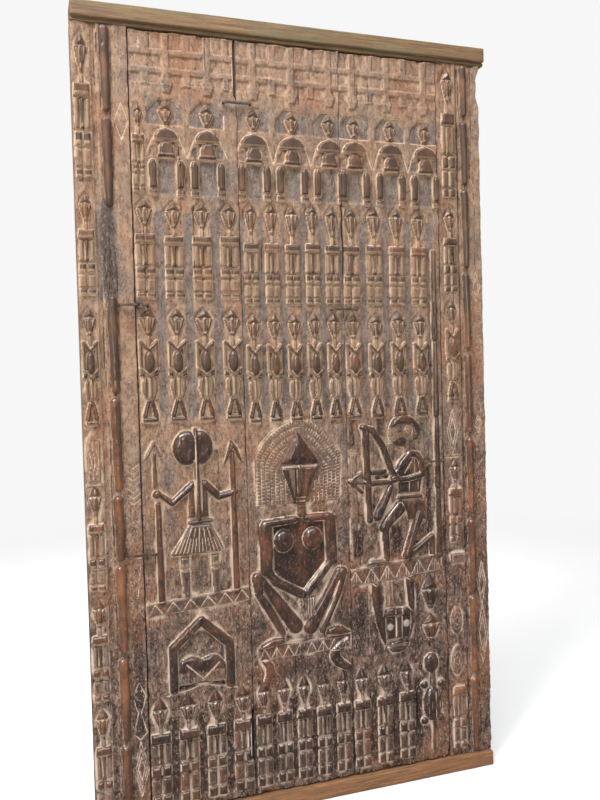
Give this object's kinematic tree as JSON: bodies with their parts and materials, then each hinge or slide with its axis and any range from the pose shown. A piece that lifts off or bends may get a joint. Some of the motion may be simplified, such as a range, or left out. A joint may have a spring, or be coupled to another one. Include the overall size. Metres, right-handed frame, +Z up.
{
  "type": "carved plank door in its frame",
  "caption": "Low carved wooden door of upright planks with figures, masks and a fret in relief, hung by iron eyes in a frame of jambs, lintel and sill.",
  "frame": {"origin": "middle of the sill's underside, in the plane of the boards' carving ground", "axes": "+Z up the door, +X to the right for someone facing the carved side, +Y from the carved front to the back (into the wall)"},
  "size_m": [1.064, 0.0823, 1.933],
  "materials": {
    "carved_wood": "hand-carved, worn smooth on the high places, dusty in the grooves",
    "plain_wood": "hewn, unpainted, weathered",
    "old_iron": "forged, dark with rust"
  },
  "bodies": {
    "frame": {"lintel": "plain_wood", "sill": "plain_wood", "jamb_left": "carved_wood", "jamb_right": "carved_wood", "frame_pegs": "plain_wood", "hinge_jamb_eyes": "old_iron"},
    "leaf": {"plank_left": "carved_wood", "plank_middle": "carved_wood", "plank_right": "carved_wood", "ledge_upper": "plain_wood", "ledge_lower": "plain_wood", "ledge_nails": "old_iron", "seam_staples": "old_iron", "pull_staple": "old_iron", "hinge_leaf_eyes": "old_iron"}
  },
  "joints": [
    {"name": "leaf_swing", "type": "hinge", "parent": "frame", "child": "leaf", "pos_m": [-0.3985, -0.011, 0], "axis": [0, 0, -1], "range_deg": [0, 105]}
  ]
}
